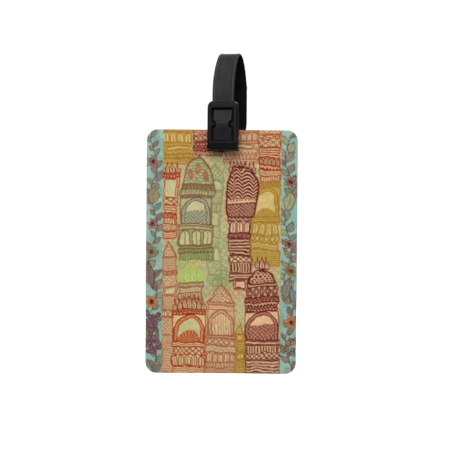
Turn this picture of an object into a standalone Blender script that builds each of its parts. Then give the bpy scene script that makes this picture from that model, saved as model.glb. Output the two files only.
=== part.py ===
"""Luggage tag: a printed card holder hanging on a flexible strap with a press-to-release buckle.

Units are metres and +Z is up. The origin is the inside top of the strap loop, where the loop hangs on a
bag's handle. The printed face of the tag looks towards -Y. The strap and its buckle are turned a little
about Z, so the buckle has its own frame: x across the strap, y from the front leg to the back leg, and z
measured from the tag's top edge.
"""

import math

import bmesh
import bpy
from mathutils import Matrix, Vector

# Tag
TAG_WIDTH = 0.0700
TAG_HEIGHT = 0.1130
TAG_CORNER = 0.0050
TAG_CENTRE_X = -0.00325
TAG_MIDDLE_Y = -0.0022
PANEL_FRONT = -0.0024
PANEL_BACK = -0.0016
TRAY_FRONT = -0.0013
TRAY_BACK = 0.0012
FRAME_FRONT = 0.0015
FRAME_BACK = 0.0024
TRAY_FLOOR = -0.0005
WINDOW_LEDGE = 0.00035
WINDOW_FRONT = 0.0007
WINDOW_BACK = 0.0012
CARD_FRONT = -0.00025
CARD_BACK = 0.00015
SLOT_WIDTH = 0.0132
SLOT_TOP = -0.0057
SLOT_BOTTOM = -0.0091
SLOT_FLARE = 0.0004
CARD_WIDTH = 0.0540
CARD_HEIGHT = 0.0860
CARD_CORNER = 0.0030
CARD_CLEARANCE = 0.0010
CARD_CENTRE_Z = -0.0607
WINDOW_WIDTH = 0.0620
WINDOW_HEIGHT = 0.0960
OPENING_WIDTH = 0.0500
OPENING_HEIGHT = 0.0820
NOTCH_RADIUS = 0.0095

# Strap
STRAP_YAW = math.radians(14.5)
STRAP_WIDTH = 0.0105
STRAP_THICKNESS = 0.0016
STRAP_CHAMFER = 0.0004
TAIL_WIDTH = 0.0088
ARCH_HALF_DEPTH = 0.0117
ARCH_RISE = 0.0190
ARCH_POWER = 1.8
ARCH_STEPS = 40
LOOP_TOP = 0.03495
LEG_BOTTOM = 0.00515
TAIL_TOP = 0.00485
TAIL_LEVEL = -0.0070
TAIL_STEPS = 22
HEAD_BOTTOM = 0.0103
HEAD_TOP = 0.0112
HEAD_HALF_DEPTH = 0.00145

# Buckle
BUCKLE_HALF_WIDTH = 0.0071
BUCKLE_HALF_DEPTH = 0.0023
BUCKLE_BOTTOM = -0.0091
BUCKLE_TOP = 0.0128
SHOULDER_Z = 0.0108
SHOULDER_HALF_WIDTH = 0.0057
CAVITY_HALF_WIDTH = 0.0061
CAVITY_FRONT = -0.0012
CAVITY_BACK = 0.0014
CAVITY_TOP = 0.0095
APERTURE_HALF_WIDTH = 0.00515
APERTURE_BOTTOM = -0.0057
APERTURE_TOP = 0.0096
LUG_TIP = 0.00375
LUG_LEVEL = 0.0021
LUG_ROOT_HALF = 0.00145
LUG_TIP_HALF = 0.0006
PLUG_HALF_WIDTH = 0.0058
PLUG_FRONT = -0.0009
PLUG_BACK = 0.0011
PRONG_INNER = 0.0049
PRONG_TOP = 0.0077
WEB_TOP = -0.0054
FLANGE_TOP = -0.0094
FLANGE_BOTTOM = -0.0101
FLANGE_HALF_WIDTH = 0.0072
TONGUE_HALF_WIDTH = 0.00432
NOTCH_CLEARANCE = 0.0007
TONGUE_BOTTOM = -0.0051
TONGUE_TOP = 0.0089
TONGUE_BACK = -0.0008
TONGUE_EDGE_FRONT = -0.0012
TONGUE_RIDGE_FRONT = -0.00215
TONGUE_HINGE = Vector((0.0, -0.00085, -0.00525))

GAP = 0.0003
OVERRUN = 0.0020
CORNER_STEPS = 8

TAG_TOP_Z = -(LOOP_TOP - STRAP_THICKNESS / 2)
ACROSS = Vector((math.cos(STRAP_YAW), -math.sin(STRAP_YAW), 0.0))
BACKWARD = Vector((math.sin(STRAP_YAW), math.cos(STRAP_YAW), 0.0))
TAG_FRAME = Matrix.Translation((TAG_CENTRE_X, TAG_MIDDLE_Y, TAG_TOP_Z))
STRAP_FRAME = Matrix.Translation((0.0, 0.0, TAG_TOP_Z)) @ Matrix.Rotation(-STRAP_YAW, 4, "Z")
BUCKLE_FRAME = STRAP_FRAME @ Matrix.Translation((0.0, -ARCH_HALF_DEPTH, 0.0))


def clear_scene():
    for existing in list(bpy.data.objects):
        bpy.data.objects.remove(existing, do_unlink=True)


def make_material(name, colour, roughness, metallic=0.0, alpha=1.0):
    material = bpy.data.materials.new(name)
    material.use_nodes = True
    shader = material.node_tree.nodes["Principled BSDF"]
    shader.inputs["Base Color"].default_value = (*colour, 1.0)
    shader.inputs["Roughness"].default_value = roughness
    shader.inputs["Metallic"].default_value = metallic
    shader.inputs["Alpha"].default_value = alpha
    material.diffuse_color = (*colour, alpha)
    return material


def make_pivot(name, location):
    pivot = bpy.data.objects.new(name, None)
    pivot.empty_display_size = 0.005
    pivot.location = location
    bpy.context.scene.collection.objects.link(pivot)
    return pivot


def make_object(name, shape, material=None, frame=None, smooth_angle=None):
    """Turn a bmesh drawn in the given frame into an object with its mesh in world coordinates."""
    bmesh.ops.recalc_face_normals(shape, faces=shape.faces)
    if frame is not None:
        shape.transform(frame)
    mesh = bpy.data.meshes.new(name)
    shape.to_mesh(mesh)
    shape.free()
    if smooth_angle is not None:
        mesh.shade_smooth()
        mesh.set_sharp_from_angle(angle=math.radians(smooth_angle))
    made = bpy.data.objects.new(name, mesh)
    bpy.context.scene.collection.objects.link(made)
    if material is not None:
        mesh.materials.append(material)
    return made


def add_boolean(target, tool, operation):
    tool.hide_render = True
    tool.display_type = "WIRE"
    step = target.modifiers.new(f"{operation.lower()}_{tool.name}", "BOOLEAN")
    step.operation = operation
    step.solver = "EXACT"
    step.object = tool


def cut(target, shape, name, frame):
    add_boolean(target, make_object(name, shape, frame=frame), "DIFFERENCE")


def join(target, shape, name, frame):
    add_boolean(target, make_object(name, shape, frame=frame), "UNION")


def hang_on(pivot, *pieces):
    """Give each piece the pivot as its parent and its origin, without moving it."""
    for piece in pieces:
        piece.data.transform(Matrix.Translation(-pivot.location))
        piece.parent = pivot


def rounded_rectangle(width, height, radius, centre=(0.0, 0.0)):
    """Outline points (x, z) of a rectangle with round corners."""
    points = []
    for corner, (side, level) in enumerate(((1, 1), (-1, 1), (-1, -1), (1, -1))):
        for step in range(CORNER_STEPS + 1):
            angle = (corner + step / CORNER_STEPS) * math.pi / 2
            x = centre[0] + side * (width / 2 - radius) + radius * math.cos(angle)
            z = centre[1] + level * (height / 2 - radius) + radius * math.sin(angle)
            points.append((x, z))
    return points


def circle(radius, centre, steps=48):
    turn = 2 * math.pi / steps
    return [
        (centre[0] + radius * math.cos(turn * k), centre[1] + radius * math.sin(turn * k)) for k in range(steps)
    ]


def prism(outline, front, back):
    """A solid with an outline in X and Z, running from front to back along Y."""
    shape = bmesh.new()
    face = shape.faces.new([shape.verts.new((x, front, z)) for x, z in outline])
    grown = bmesh.ops.extrude_face_region(shape, geom=[face])
    moved = [part for part in grown["geom"] if isinstance(part, bmesh.types.BMVert)]
    bmesh.ops.translate(shape, verts=moved, vec=(0.0, back - front, 0.0))
    return shape


def box(low, high):
    outline = [(low[0], low[2]), (high[0], low[2]), (high[0], high[2]), (low[0], high[2])]
    return prism(outline, low[1], high[1])


def band(route, half_width_at, thickness):
    """A flat strap swept along a route, lying across ACROSS, with chamfered edges."""
    shape = bmesh.new()
    rings = []
    for step, point in enumerate(route):
        before = route[max(step - 1, 0)]
        after = route[min(step + 1, len(route) - 1)]
        normal = ACROSS.cross((after - before).normalized()).normalized()
        half_width = half_width_at(step / (len(route) - 1))
        half_depth = thickness / 2
        inner_width = half_width - STRAP_CHAMFER
        inner_depth = half_depth - STRAP_CHAMFER
        section = (
            (half_width, inner_depth),
            (inner_width, half_depth),
            (-inner_width, half_depth),
            (-half_width, inner_depth),
            (-half_width, -inner_depth),
            (-inner_width, -half_depth),
            (inner_width, -half_depth),
            (half_width, -inner_depth),
        )
        rings.append([shape.verts.new(point + ACROSS * a + normal * b) for a, b in section])
    for ring, following in zip(rings, rings[1:]):
        for k in range(len(ring)):
            nxt = (k + 1) % len(ring)
            shape.faces.new((ring[k], ring[nxt], following[nxt], following[k]))
    shape.faces.new(rings[0])
    shape.faces.new(rings[-1])
    return shape


def on_loop(depth, level):
    """World position of a point on the strap's centre line, from its depth and its height over the tag."""
    return BACKWARD * depth + Vector((0.0, 0.0, TAG_TOP_Z + level))


def arch_route():
    """Centre line of the loop: up the front leg, over the arch and down the back leg."""
    spring = LOOP_TOP - ARCH_RISE
    power = 2 / ARCH_POWER
    route = [on_loop(-ARCH_HALF_DEPTH, HEAD_TOP + (spring - HEAD_TOP) * k / 4) for k in range(4)]
    for step in range(ARCH_STEPS + 1):
        angle = math.pi * step / ARCH_STEPS
        lean = math.cos(angle)
        depth = -math.copysign(ARCH_HALF_DEPTH * abs(lean) ** power, lean)
        route.append(on_loop(depth, spring + ARCH_RISE * math.sin(angle) ** power))
    route += [on_loop(ARCH_HALF_DEPTH, spring + (LEG_BOTTOM - spring) * k / 4) for k in range(1, 5)]
    return route


def tail_route():
    """Centre line of the tail: straight back from the plug, through the slot, then up to the back leg."""
    start = BUCKLE_FRAME @ Vector((0.0, 0.0001, TAIL_LEVEL))
    slot = Vector((TAG_CENTRE_X + 0.0011, TAG_MIDDLE_Y, TAG_TOP_Z + TAIL_LEVEL))
    end = on_loop(ARCH_HALF_DEPTH, TAIL_TOP)
    handle_out = slot + Vector((0.0008, 0.0085, 0.0))
    handle_in = end - Vector((0.0, 0.0, 0.0090))
    route = [start.lerp(slot, k / 6) for k in range(6)]
    for step in range(TAIL_STEPS + 1):
        t = step / TAIL_STEPS
        early = slot * (1 - t) ** 3 + handle_out * 3 * t * (1 - t) ** 2
        route.append(early + handle_in * 3 * t**2 * (1 - t) + end * t**3)
    return route


def lug_outline(grown=0.0):
    """One side of the aperture, from bottom to top, with its lug. Grown, it is the notch round the lug."""
    return [
        (APERTURE_HALF_WIDTH, LUG_LEVEL - LUG_ROOT_HALF - grown),
        (LUG_TIP - grown, LUG_LEVEL - LUG_TIP_HALF - grown),
        (LUG_TIP - grown, LUG_LEVEL + LUG_TIP_HALF + grown),
        (APERTURE_HALF_WIDTH, LUG_LEVEL + LUG_ROOT_HALF + grown),
    ]


def mirrored(outline):
    return [(-x, z) for x, z in reversed(outline)]


def slot_cutter(flare):
    width = SLOT_WIDTH + 2 * flare
    height = SLOT_TOP - SLOT_BOTTOM + 2 * flare
    outline = rounded_rectangle(width, height, height * 0.3, (0.0, (SLOT_TOP + SLOT_BOTTOM) / 2))
    return prism(outline, PANEL_FRONT - OVERRUN, FRAME_BACK + OVERRUN)


def thumb_notch(front):
    return prism(circle(NOTCH_RADIUS, (TAG_WIDTH / 2, CARD_CENTRE_Z)), front, FRAME_BACK + OVERRUN)


def tag_outline():
    return rounded_rectangle(TAG_WIDTH, TAG_HEIGHT, TAG_CORNER, (0.0, -TAG_HEIGHT / 2))


def build_front_panel(material):
    panel = make_object("front_panel", prism(tag_outline(), PANEL_FRONT, PANEL_BACK), material, TAG_FRAME, 40)
    cut(panel, slot_cutter(SLOT_FLARE), "panel_slot_cutter", TAG_FRAME)
    return panel


def build_tag_body(material):
    tray = make_object("tag_body", prism(tag_outline(), TRAY_FRONT, TRAY_BACK), material, TAG_FRAME, 40)
    half_card = CARD_HEIGHT / 2 + CARD_CLEARANCE
    half_pocket = CARD_WIDTH / 2 + CARD_CLEARANCE
    pocket = box(
        (-half_pocket, TRAY_FLOOR, CARD_CENTRE_Z - half_card),
        (TAG_WIDTH / 2 + OVERRUN, WINDOW_LEDGE + 0.00005, CARD_CENTRE_Z + half_card),
    )
    recess = box(
        (-WINDOW_WIDTH / 2 - GAP, WINDOW_LEDGE, CARD_CENTRE_Z - WINDOW_HEIGHT / 2 - GAP),
        (WINDOW_WIDTH / 2 + GAP, TRAY_BACK + OVERRUN, CARD_CENTRE_Z + WINDOW_HEIGHT / 2 + GAP),
    )
    cut(tray, pocket, "card_pocket_cutter", TAG_FRAME)
    cut(tray, recess, "window_recess_cutter", TAG_FRAME)
    cut(tray, thumb_notch(CARD_FRONT), "tray_notch_cutter", TAG_FRAME)
    cut(tray, slot_cutter(0.0), "tray_slot_cutter", TAG_FRAME)
    return tray


def build_card_window(material):
    outline = rounded_rectangle(WINDOW_WIDTH, WINDOW_HEIGHT, GAP, (0.0, CARD_CENTRE_Z))
    window = make_object("card_window", prism(outline, WINDOW_FRONT, WINDOW_BACK), material, TAG_FRAME)
    cut(window, thumb_notch(CARD_FRONT), "window_notch_cutter", TAG_FRAME)
    return window


def build_back_frame(material):
    frame = make_object("back_frame", prism(tag_outline(), FRAME_FRONT, FRAME_BACK), material, TAG_FRAME, 40)
    opening = rounded_rectangle(OPENING_WIDTH, OPENING_HEIGHT, CARD_CORNER, (0.0, CARD_CENTRE_Z))
    cut(frame, prism(opening, TRAY_FLOOR, FRAME_BACK + OVERRUN), "frame_opening_cutter", TAG_FRAME)
    cut(frame, thumb_notch(CARD_FRONT), "frame_notch_cutter", TAG_FRAME)
    cut(frame, slot_cutter(SLOT_FLARE), "frame_slot_cutter", TAG_FRAME)
    return frame


def build_address_card(material):
    outline = rounded_rectangle(CARD_WIDTH, CARD_HEIGHT, CARD_CORNER, (0.0, CARD_CENTRE_Z))
    return make_object("address_card", prism(outline, CARD_FRONT, CARD_BACK), material, TAG_FRAME)


def build_strap_loop(material):
    loop = make_object("strap_loop", band(arch_route(), lambda t: STRAP_WIDTH / 2, STRAP_THICKNESS), material)
    loop.data.shade_smooth()
    loop.data.set_sharp_from_angle(angle=math.radians(30))
    head = box(
        (-STRAP_WIDTH / 2, -HEAD_HALF_DEPTH, HEAD_BOTTOM),
        (STRAP_WIDTH / 2, HEAD_HALF_DEPTH, HEAD_TOP + 0.0002),
    )
    join(loop, head, "strap_head", BUCKLE_FRAME)
    return loop


def build_strap_tail(material):
    def half_width(share):
        widening = max(0.0, (share - 0.45) / 0.55)
        return (TAIL_WIDTH + (STRAP_WIDTH - TAIL_WIDTH) * widening) / 2

    tail = make_object("strap_tail", band(tail_route(), half_width, STRAP_THICKNESS), material)
    tail.data.shade_smooth()
    tail.data.set_sharp_from_angle(angle=math.radians(30))
    return tail


def build_housing(material):
    right = [
        (BUCKLE_HALF_WIDTH - 0.0005, BUCKLE_BOTTOM),
        (BUCKLE_HALF_WIDTH, BUCKLE_BOTTOM + 0.0005),
        (BUCKLE_HALF_WIDTH, SHOULDER_Z),
        (SHOULDER_HALF_WIDTH, BUCKLE_TOP),
    ]
    outline = right + mirrored(right)
    shell = prism(outline, -BUCKLE_HALF_DEPTH, BUCKLE_HALF_DEPTH)
    housing = make_object("buckle_housing", shell, material, BUCKLE_FRAME)
    below = BUCKLE_BOTTOM - OVERRUN
    cavity = box((-CAVITY_HALF_WIDTH, CAVITY_FRONT, below), (CAVITY_HALF_WIDTH, CAVITY_BACK, CAVITY_TOP))
    cut(housing, cavity, "plug_cavity_cutter", BUCKLE_FRAME)
    side = [
        (APERTURE_HALF_WIDTH, APERTURE_BOTTOM),
        *lug_outline(),
        (APERTURE_HALF_WIDTH, APERTURE_TOP),
    ]
    aperture = prism(side + mirrored(side), -BUCKLE_HALF_DEPTH - OVERRUN, CAVITY_FRONT + 0.0001)
    cut(housing, aperture, "aperture_cutter", BUCKLE_FRAME)
    tail_exit = box(
        (-PLUG_HALF_WIDTH, CAVITY_BACK - 0.0001, below),
        (PLUG_HALF_WIDTH, BUCKLE_HALF_DEPTH + OVERRUN, WEB_TOP - GAP),
    )
    cut(housing, tail_exit, "tail_exit_cutter", BUCKLE_FRAME)
    half_entry = STRAP_WIDTH / 2 + GAP
    entry = box(
        (-half_entry, -STRAP_THICKNESS / 2 - GAP, HEAD_TOP),
        (half_entry, STRAP_THICKNESS / 2 + GAP, BUCKLE_TOP + OVERRUN),
    )
    chamber = box(
        (-half_entry - 0.0001, -HEAD_HALF_DEPTH - GAP, HEAD_BOTTOM - GAP),
        (half_entry + 0.0001, HEAD_HALF_DEPTH + GAP, HEAD_TOP + 0.0002 + GAP),
    )
    cut(housing, entry, "strap_entry_cutter", BUCKLE_FRAME)
    cut(housing, chamber, "strap_head_cutter", BUCKLE_FRAME)
    return housing


def build_plug(material):
    right = [
        (PLUG_HALF_WIDTH, FLANGE_BOTTOM + 0.0002),
        (PLUG_HALF_WIDTH, PRONG_TOP - 0.0006),
        (PLUG_HALF_WIDTH - 0.0003, PRONG_TOP),
        (PRONG_INNER + 0.0003, PRONG_TOP),
        (PRONG_INNER, PRONG_TOP - 0.0006),
        (PRONG_INNER, WEB_TOP),
    ]
    plug = make_object("buckle_plug", prism(right + mirrored(right), PLUG_FRONT, PLUG_BACK), material, BUCKLE_FRAME)
    rim = [
        (FLANGE_HALF_WIDTH - 0.0004, FLANGE_BOTTOM),
        (FLANGE_HALF_WIDTH + 0.0003, FLANGE_BOTTOM + 0.0001),
        (FLANGE_HALF_WIDTH, FLANGE_TOP),
    ]
    flange = prism(rim + mirrored(rim), -BUCKLE_HALF_DEPTH + 0.0001, BUCKLE_HALF_DEPTH - 0.0001)
    join(plug, flange, "plug_flange", BUCKLE_FRAME)
    half_socket = TAIL_WIDTH / 2 + GAP
    half_height = STRAP_THICKNESS / 2 + GAP
    socket = box(
        (-half_socket - 0.0002, -0.0003, TAIL_LEVEL - half_height),
        (half_socket + 0.0002, PLUG_BACK + OVERRUN, TAIL_LEVEL + half_height),
    )
    cut(plug, socket, "tail_socket_cutter", BUCKLE_FRAME)
    return plug


def build_tongue(material):
    profile = [
        (TONGUE_BACK, TONGUE_BOTTOM),
        (TONGUE_EDGE_FRONT, TONGUE_BOTTOM),
        (TONGUE_RIDGE_FRONT, LUG_LEVEL),
        (TONGUE_EDGE_FRONT, TONGUE_TOP),
        (TONGUE_BACK, TONGUE_TOP),
    ]
    # The profile is drawn in Y and Z, and a quarter turn brings the prism's own axis across the buckle.
    shape = prism(profile, -TONGUE_HALF_WIDTH, TONGUE_HALF_WIDTH)
    shape.transform(Matrix.Rotation(math.pi / 2, 4, "Z"))
    tongue = make_object("release_tongue", shape, material, BUCKLE_FRAME)
    for side, name in ((1, "right"), (-1, "left")):
        notch = [(side * x, z) for x, z in lug_outline(NOTCH_CLEARANCE)]
        cutter = prism(notch, -BUCKLE_HALF_DEPTH - OVERRUN, TONGUE_BACK + OVERRUN)
        cut(tongue, cutter, f"tongue_{name}_notch_cutter", BUCKLE_FRAME)
    return tongue


def place_on_pivots(pieces):
    """Put the origin of every moving piece on its joint."""
    slide = make_pivot("buckle_slide_pivot", BUCKLE_FRAME @ Vector((0.0, 0.0, BUCKLE_BOTTOM)))
    hang_on(slide, pieces["strap_loop"], pieces["buckle_housing"])
    press = make_pivot("tongue_hinge_pivot", BUCKLE_FRAME @ TONGUE_HINGE)
    hang_on(press, pieces["release_tongue"])
    swing = make_pivot("tag_swing_pivot", TAG_FRAME @ Vector((0.0, 0.0, SLOT_TOP)))
    hang_on(swing, *(pieces[name] for name in ("front_panel", "tag_body", "card_window", "back_frame")))
    drawer = make_pivot("card_slide_pivot", TAG_FRAME @ Vector((0.0, 0.0, CARD_CENTRE_Z)))
    hang_on(drawer, pieces["address_card"])


def build():
    clear_scene()
    black_rubber = make_material("black_strap", (0.030, 0.030, 0.031), 0.55)
    black_plastic = make_material("black_buckle", (0.020, 0.020, 0.021), 0.42)
    print_finish = make_material("printed_panel", (0.56, 0.44, 0.26), 0.38)
    body_plastic = make_material("tag_plastic", (0.045, 0.044, 0.043), 0.50)
    frame_plastic = make_material("frame_plastic", (0.035, 0.035, 0.036), 0.50)
    clear_plastic = make_material("clear_window", (0.92, 0.95, 0.96), 0.10, alpha=0.35)
    paper = make_material("card_paper", (0.86, 0.84, 0.78), 0.80)
    makers = (
        (build_front_panel, print_finish),
        (build_tag_body, body_plastic),
        (build_card_window, clear_plastic),
        (build_back_frame, frame_plastic),
        (build_address_card, paper),
        (build_strap_loop, black_rubber),
        (build_strap_tail, black_rubber),
        (build_housing, black_plastic),
        (build_plug, black_plastic),
        (build_tongue, black_plastic),
    )
    pieces = {}
    for make, material in makers:
        piece = make(material)
        pieces[piece.name] = piece
    bpy.context.view_layer.update()
    place_on_pivots(pieces)


build()
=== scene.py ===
"""Looks for the luggage tag: the print, the strap, the buckle and the tag's moulded parts.

Shapes are in millimetres, and new_piece turns them into the metres of the CAD's frame. Materials and lights
are in metres. The print and the strap's slot are measured from the middle of the tag's top edge.
"""

import math

import bmesh
import bpy
import numpy as np
from mathutils import Matrix, Vector


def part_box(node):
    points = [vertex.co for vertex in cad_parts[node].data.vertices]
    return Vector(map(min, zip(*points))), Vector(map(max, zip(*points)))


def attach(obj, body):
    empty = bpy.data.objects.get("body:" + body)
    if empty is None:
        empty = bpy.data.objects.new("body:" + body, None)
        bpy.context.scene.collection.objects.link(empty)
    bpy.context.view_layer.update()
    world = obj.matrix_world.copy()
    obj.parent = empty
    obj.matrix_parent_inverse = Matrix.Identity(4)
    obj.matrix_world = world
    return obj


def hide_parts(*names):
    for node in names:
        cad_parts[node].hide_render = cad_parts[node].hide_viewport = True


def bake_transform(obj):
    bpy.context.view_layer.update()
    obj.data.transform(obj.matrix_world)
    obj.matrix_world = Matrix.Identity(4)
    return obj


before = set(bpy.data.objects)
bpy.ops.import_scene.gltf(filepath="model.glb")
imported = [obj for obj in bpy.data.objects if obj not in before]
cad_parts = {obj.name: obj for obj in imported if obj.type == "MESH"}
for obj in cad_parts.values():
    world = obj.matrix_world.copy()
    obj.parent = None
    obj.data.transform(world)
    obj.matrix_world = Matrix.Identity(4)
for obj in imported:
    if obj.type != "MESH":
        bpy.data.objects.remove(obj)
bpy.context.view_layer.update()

MM = 0.001


def in_mm(corners):
    """A box's lowest and highest corners, from metres to millimetres."""
    return [corner / MM for corner in corners]


PANEL_LOW, PANEL_HIGH = in_mm(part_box("front_panel"))
TAG_MIDDLE_X = (PANEL_LOW.x + PANEL_HIGH.x) / 2
TAG_WIDTH = PANEL_HIGH.x - PANEL_LOW.x
TAG_HEIGHT = PANEL_HIGH.z - PANEL_LOW.z
TAG_TOP_Z = PANEL_HIGH.z
TAG_CORNER = 5.0
NOTCH_RADIUS = 9.5
SLOT_HALF_WIDTH, SLOT_TOP, SLOT_BOTTOM, SLOT_CORNER = 7.0, 5.3, 9.5, 1.26
STRAP_YAW = math.radians(14.5)
STRAP_HALF_DEPTH = 11.7
ACROSS = Vector((math.cos(STRAP_YAW), -math.sin(STRAP_YAW), 0.0))
BACKWARD = Vector((math.sin(STRAP_YAW), math.cos(STRAP_YAW), 0.0))
STRAP_FRAME = Matrix.Translation((0.0, 0.0, TAG_TOP_Z)) @ Matrix.Rotation(-STRAP_YAW, 4, "Z")
BUCKLE_FRAME = STRAP_FRAME @ Matrix.Translation((0.0, -STRAP_HALF_DEPTH, 0.0))


# ---------------------------------------------------------------- materials


def tint(*shades):
    """Linear colour from display values of 0 to 255."""
    share = np.array(shades) / 255
    return np.where(share > 0.04045, ((share + 0.055) / 1.055) ** 2.4, share / 12.92)


class Nodes:
    """The node tree of a new material or world, with short ways to add and join nodes."""

    def __init__(self, name, kind="materials"):
        self.owner = getattr(bpy.data, kind).new(name)
        self.owner.use_nodes = True
        self.tree = self.owner.node_tree
        self.shader = self.tree.nodes.get("Principled BSDF")
        self.place = self.add("TexCoord").outputs["Object"]

    def feed(self, socket, value):
        """Join a socket to another, or give it a number, a vector or a colour."""
        if isinstance(value, bpy.types.NodeSocket):
            self.tree.links.new(value, socket)
        elif socket.type == "RGBA":
            socket.default_value = (*value, 1.0)
        else:
            socket.default_value = value

    def add(self, kind, sockets=(), **settings):
        node = self.tree.nodes.new(f"ShaderNode{kind}")
        for name, value in settings.items():
            setattr(node, name, value)
        for name, value in dict(sockets).items():
            self.feed(node.inputs[name], value)
        return node

    def attribute(self, name, output="Fac"):
        return self.add("Attribute", attribute_name=name).outputs[output]

    def noise(self, scale, detail=4.0, roughness=0.55, stretch=None):
        """Noise with a given number of features in a metre, stretched by a factor along each axis."""
        place = self.place
        if stretch is not None:
            place = self.add("Mapping", {"Vector": place, "Scale": stretch}).outputs["Vector"]
        sockets = {"Vector": place, "Scale": scale, "Detail": detail, "Roughness": roughness}
        return self.add("TexNoise", sockets).outputs["Fac"]

    def ramp(self, source, low, high, start=0.3, end=0.7):
        """A number that goes from low to high as source goes from start to end."""
        sockets = {"Value": source, "From Min": start, "From Max": end, "To Min": low, "To Max": high}
        return self.add("MapRange", sockets).outputs["Result"]

    def mix(self, share, first, second, blend="MIX"):
        """A colour between two others; each may be a socket or a colour, and share a socket or a number."""
        node = self.add("Mix", {0: share, 6: first, 7: second}, data_type="RGBA", blend_type=blend)
        return node.outputs[2]

    def bump(self, height, distance, strength, below=None):
        node = self.add("Bump", {"Height": height, "Distance": distance, "Strength": strength})
        if below is not None:
            self.feed(node.inputs["Normal"], below)
        return node.outputs["Normal"]

    def surface(self, **sockets):
        """The material, once its shader's sockets are fed, by name with _ for a space."""
        for name, value in sockets.items():
            self.feed(self.shader.inputs[name.replace("_", " ")], value)
        return self.owner


def moulded_black(name, shade, roughness, grain=2600.0, gloss=0.2, strap=False):
    """Black moulded plastic or rubber: fine grain, faint flow marks and a little dust-grey wear.

    On the strap the flow marks are strong, a painted sheen; its rims are paler, a painted highlight; and
    its inner face is darker, a painted shade, and dead matt, as its mesh attributes say.
    """
    nodes = Nodes(name)
    cloud = nodes.noise(220.0, 5.0)
    flow_marks_and_sheen = nodes.noise(380.0, 3.0, stretch=(1.0, 1.0, 0.22))
    base = nodes.mix(nodes.ramp(cloud, 0.0, 1.0), shade * 0.82, shade * 1.2)
    # On the strap these stretched flow marks are strong and stand as a painted sheen running down the band.
    base = nodes.mix(nodes.ramp(flow_marks_and_sheen, 0.0, 0.8 if strap else 0.3, 0.46, 0.72), base, shade * 1.8)
    rough = nodes.ramp(cloud, roughness - 0.05, roughness + 0.07)
    if strap:
        # The strap's rims are lightened as a painted highlight, and its inner face is darkened as painted
        # shade as well as made dead matt.
        inner = nodes.attribute("inner")
        base = nodes.mix(nodes.attribute("rim"), base, shade * 3.0)
        base = nodes.mix(inner, base, shade * 0.22)
        rough = nodes.add("Math", {0: rough, 1: inner}, operation="MAXIMUM").outputs[0]
    fine = nodes.bump(nodes.noise(grain * 2.2, 2.0), 0.000015, 0.5)
    normal = nodes.bump(nodes.noise(grain, 3.0), 0.00003, 0.6, fine)
    return nodes.surface(Base_Color=base, Roughness=rough, Normal=normal, Specular_IOR_Level=gloss)


def printed_material():
    """Ink on a satin panel: the colours come from the mesh, with mottled ink and a faint orange peel."""
    nodes = Nodes("printed_panel_look")
    mottle = nodes.ramp(nodes.noise(1500.0, 6.0, 0.7), 0.0, 1.0, 0.3, 0.75)
    worn = nodes.mix(mottle, (0.93, 0.93, 0.92), (1.04, 1.03, 1.01))
    wash = nodes.mix(nodes.ramp(nodes.noise(90.0, 3.0), 0.0, 1.0), (0.97, 0.96, 0.95), (1.02, 1.02, 1.02))
    ink = nodes.mix(1.0, nodes.attribute("print", "Color"), worn, "MULTIPLY")
    return nodes.surface(
        Base_Color=nodes.mix(1.0, ink, wash, "MULTIPLY"), Specular_IOR_Level=0.08,
        Roughness=nodes.ramp(mottle, 0.36, 0.46, 0.0, 1.0),
        Normal=nodes.bump(nodes.noise(900.0, 3.0), 0.00002, 0.35),
    )


def paper_material():
    nodes = Nodes("card_paper_look")
    fibre = nodes.noise(2200.0, 6.0, 0.7, stretch=(1.0, 1.0, 0.35))
    fleck = nodes.ramp(nodes.noise(700.0, 2.0), 0.0, 0.25, 0.62, 0.8)
    base = nodes.mix(nodes.ramp(fibre, 0.0, 1.0), tint(226, 220, 204), tint(243, 239, 228))
    return nodes.surface(
        Base_Color=nodes.mix(fleck, base, tint(196, 184, 158)), Roughness=0.82,
        Normal=nodes.bump(fibre, 0.00003, 0.5), Specular_IOR_Level=0.25,
    )


def window_material():
    """Clear PET with light scuffs in its gloss."""
    nodes = Nodes("clear_window_look")
    scuff = nodes.noise(900.0, 8.0, 0.8, stretch=(1.0, 1.0, 0.1))
    return nodes.surface(
        Base_Color=(0.93, 0.96, 0.97), Roughness=nodes.ramp(scuff, 0.04, 0.22, 0.45, 0.8), IOR=1.42,
        Normal=nodes.bump(nodes.noise(60.0, 2.0), 0.0001, 0.25), Transmission_Weight=1.0,
    )


def rule_material():
    nodes = Nodes("card_rule_look")
    fade = nodes.ramp(nodes.noise(1800.0, 4.0), 0.0, 1.0)
    return nodes.surface(Base_Color=nodes.mix(fade, tint(52, 56, 66), tint(88, 92, 102)), Roughness=0.7)


# ---------------------------------------------------------------- mesh helpers


def linked(name, data):
    """A new object in the scene."""
    made = bpy.data.objects.new(name, data)
    bpy.context.scene.collection.objects.link(made)
    return made


def meshed(name, shape):
    """A bmesh made into an object."""
    mesh = bpy.data.meshes.new(name)
    shape.to_mesh(mesh)
    shape.free()
    return linked(name, mesh)


def new_piece(name, shape, material, body=None, place=Matrix(), smooth=35.0):
    """Make a shown piece from a bmesh in millimetres, riding on a body."""
    bmesh.ops.recalc_face_normals(shape, faces=shape.faces)
    shape.transform(Matrix.Scale(MM, 4) @ place)
    made = meshed(name, shape)
    made.data.materials.append(material)
    if smooth is not None:
        made.data.shade_smooth()
        made.data.set_sharp_from_angle(angle=math.radians(smooth))
    if body is not None:
        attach(made, body)
    return made


def prism(outline, front, back, into=None):
    """A solid with an outline in X and Z, running from front to back along Y."""
    shape = bmesh.new() if into is None else into
    skin(shape, [[shape.verts.new((x, y, z)) for x, z in outline] for y in (front, back)], capped=True)
    bmesh.ops.recalc_face_normals(shape, faces=shape.faces)
    return shape


def mirrored(outline):
    return [(-x, z) for x, z in reversed(outline)]


def block(half_width, front, back, bottom, top):
    """A box that reaches equally far left and right."""
    side = [(half_width, bottom), (half_width, top)]
    return prism(side + mirrored(side), front, back)


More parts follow.
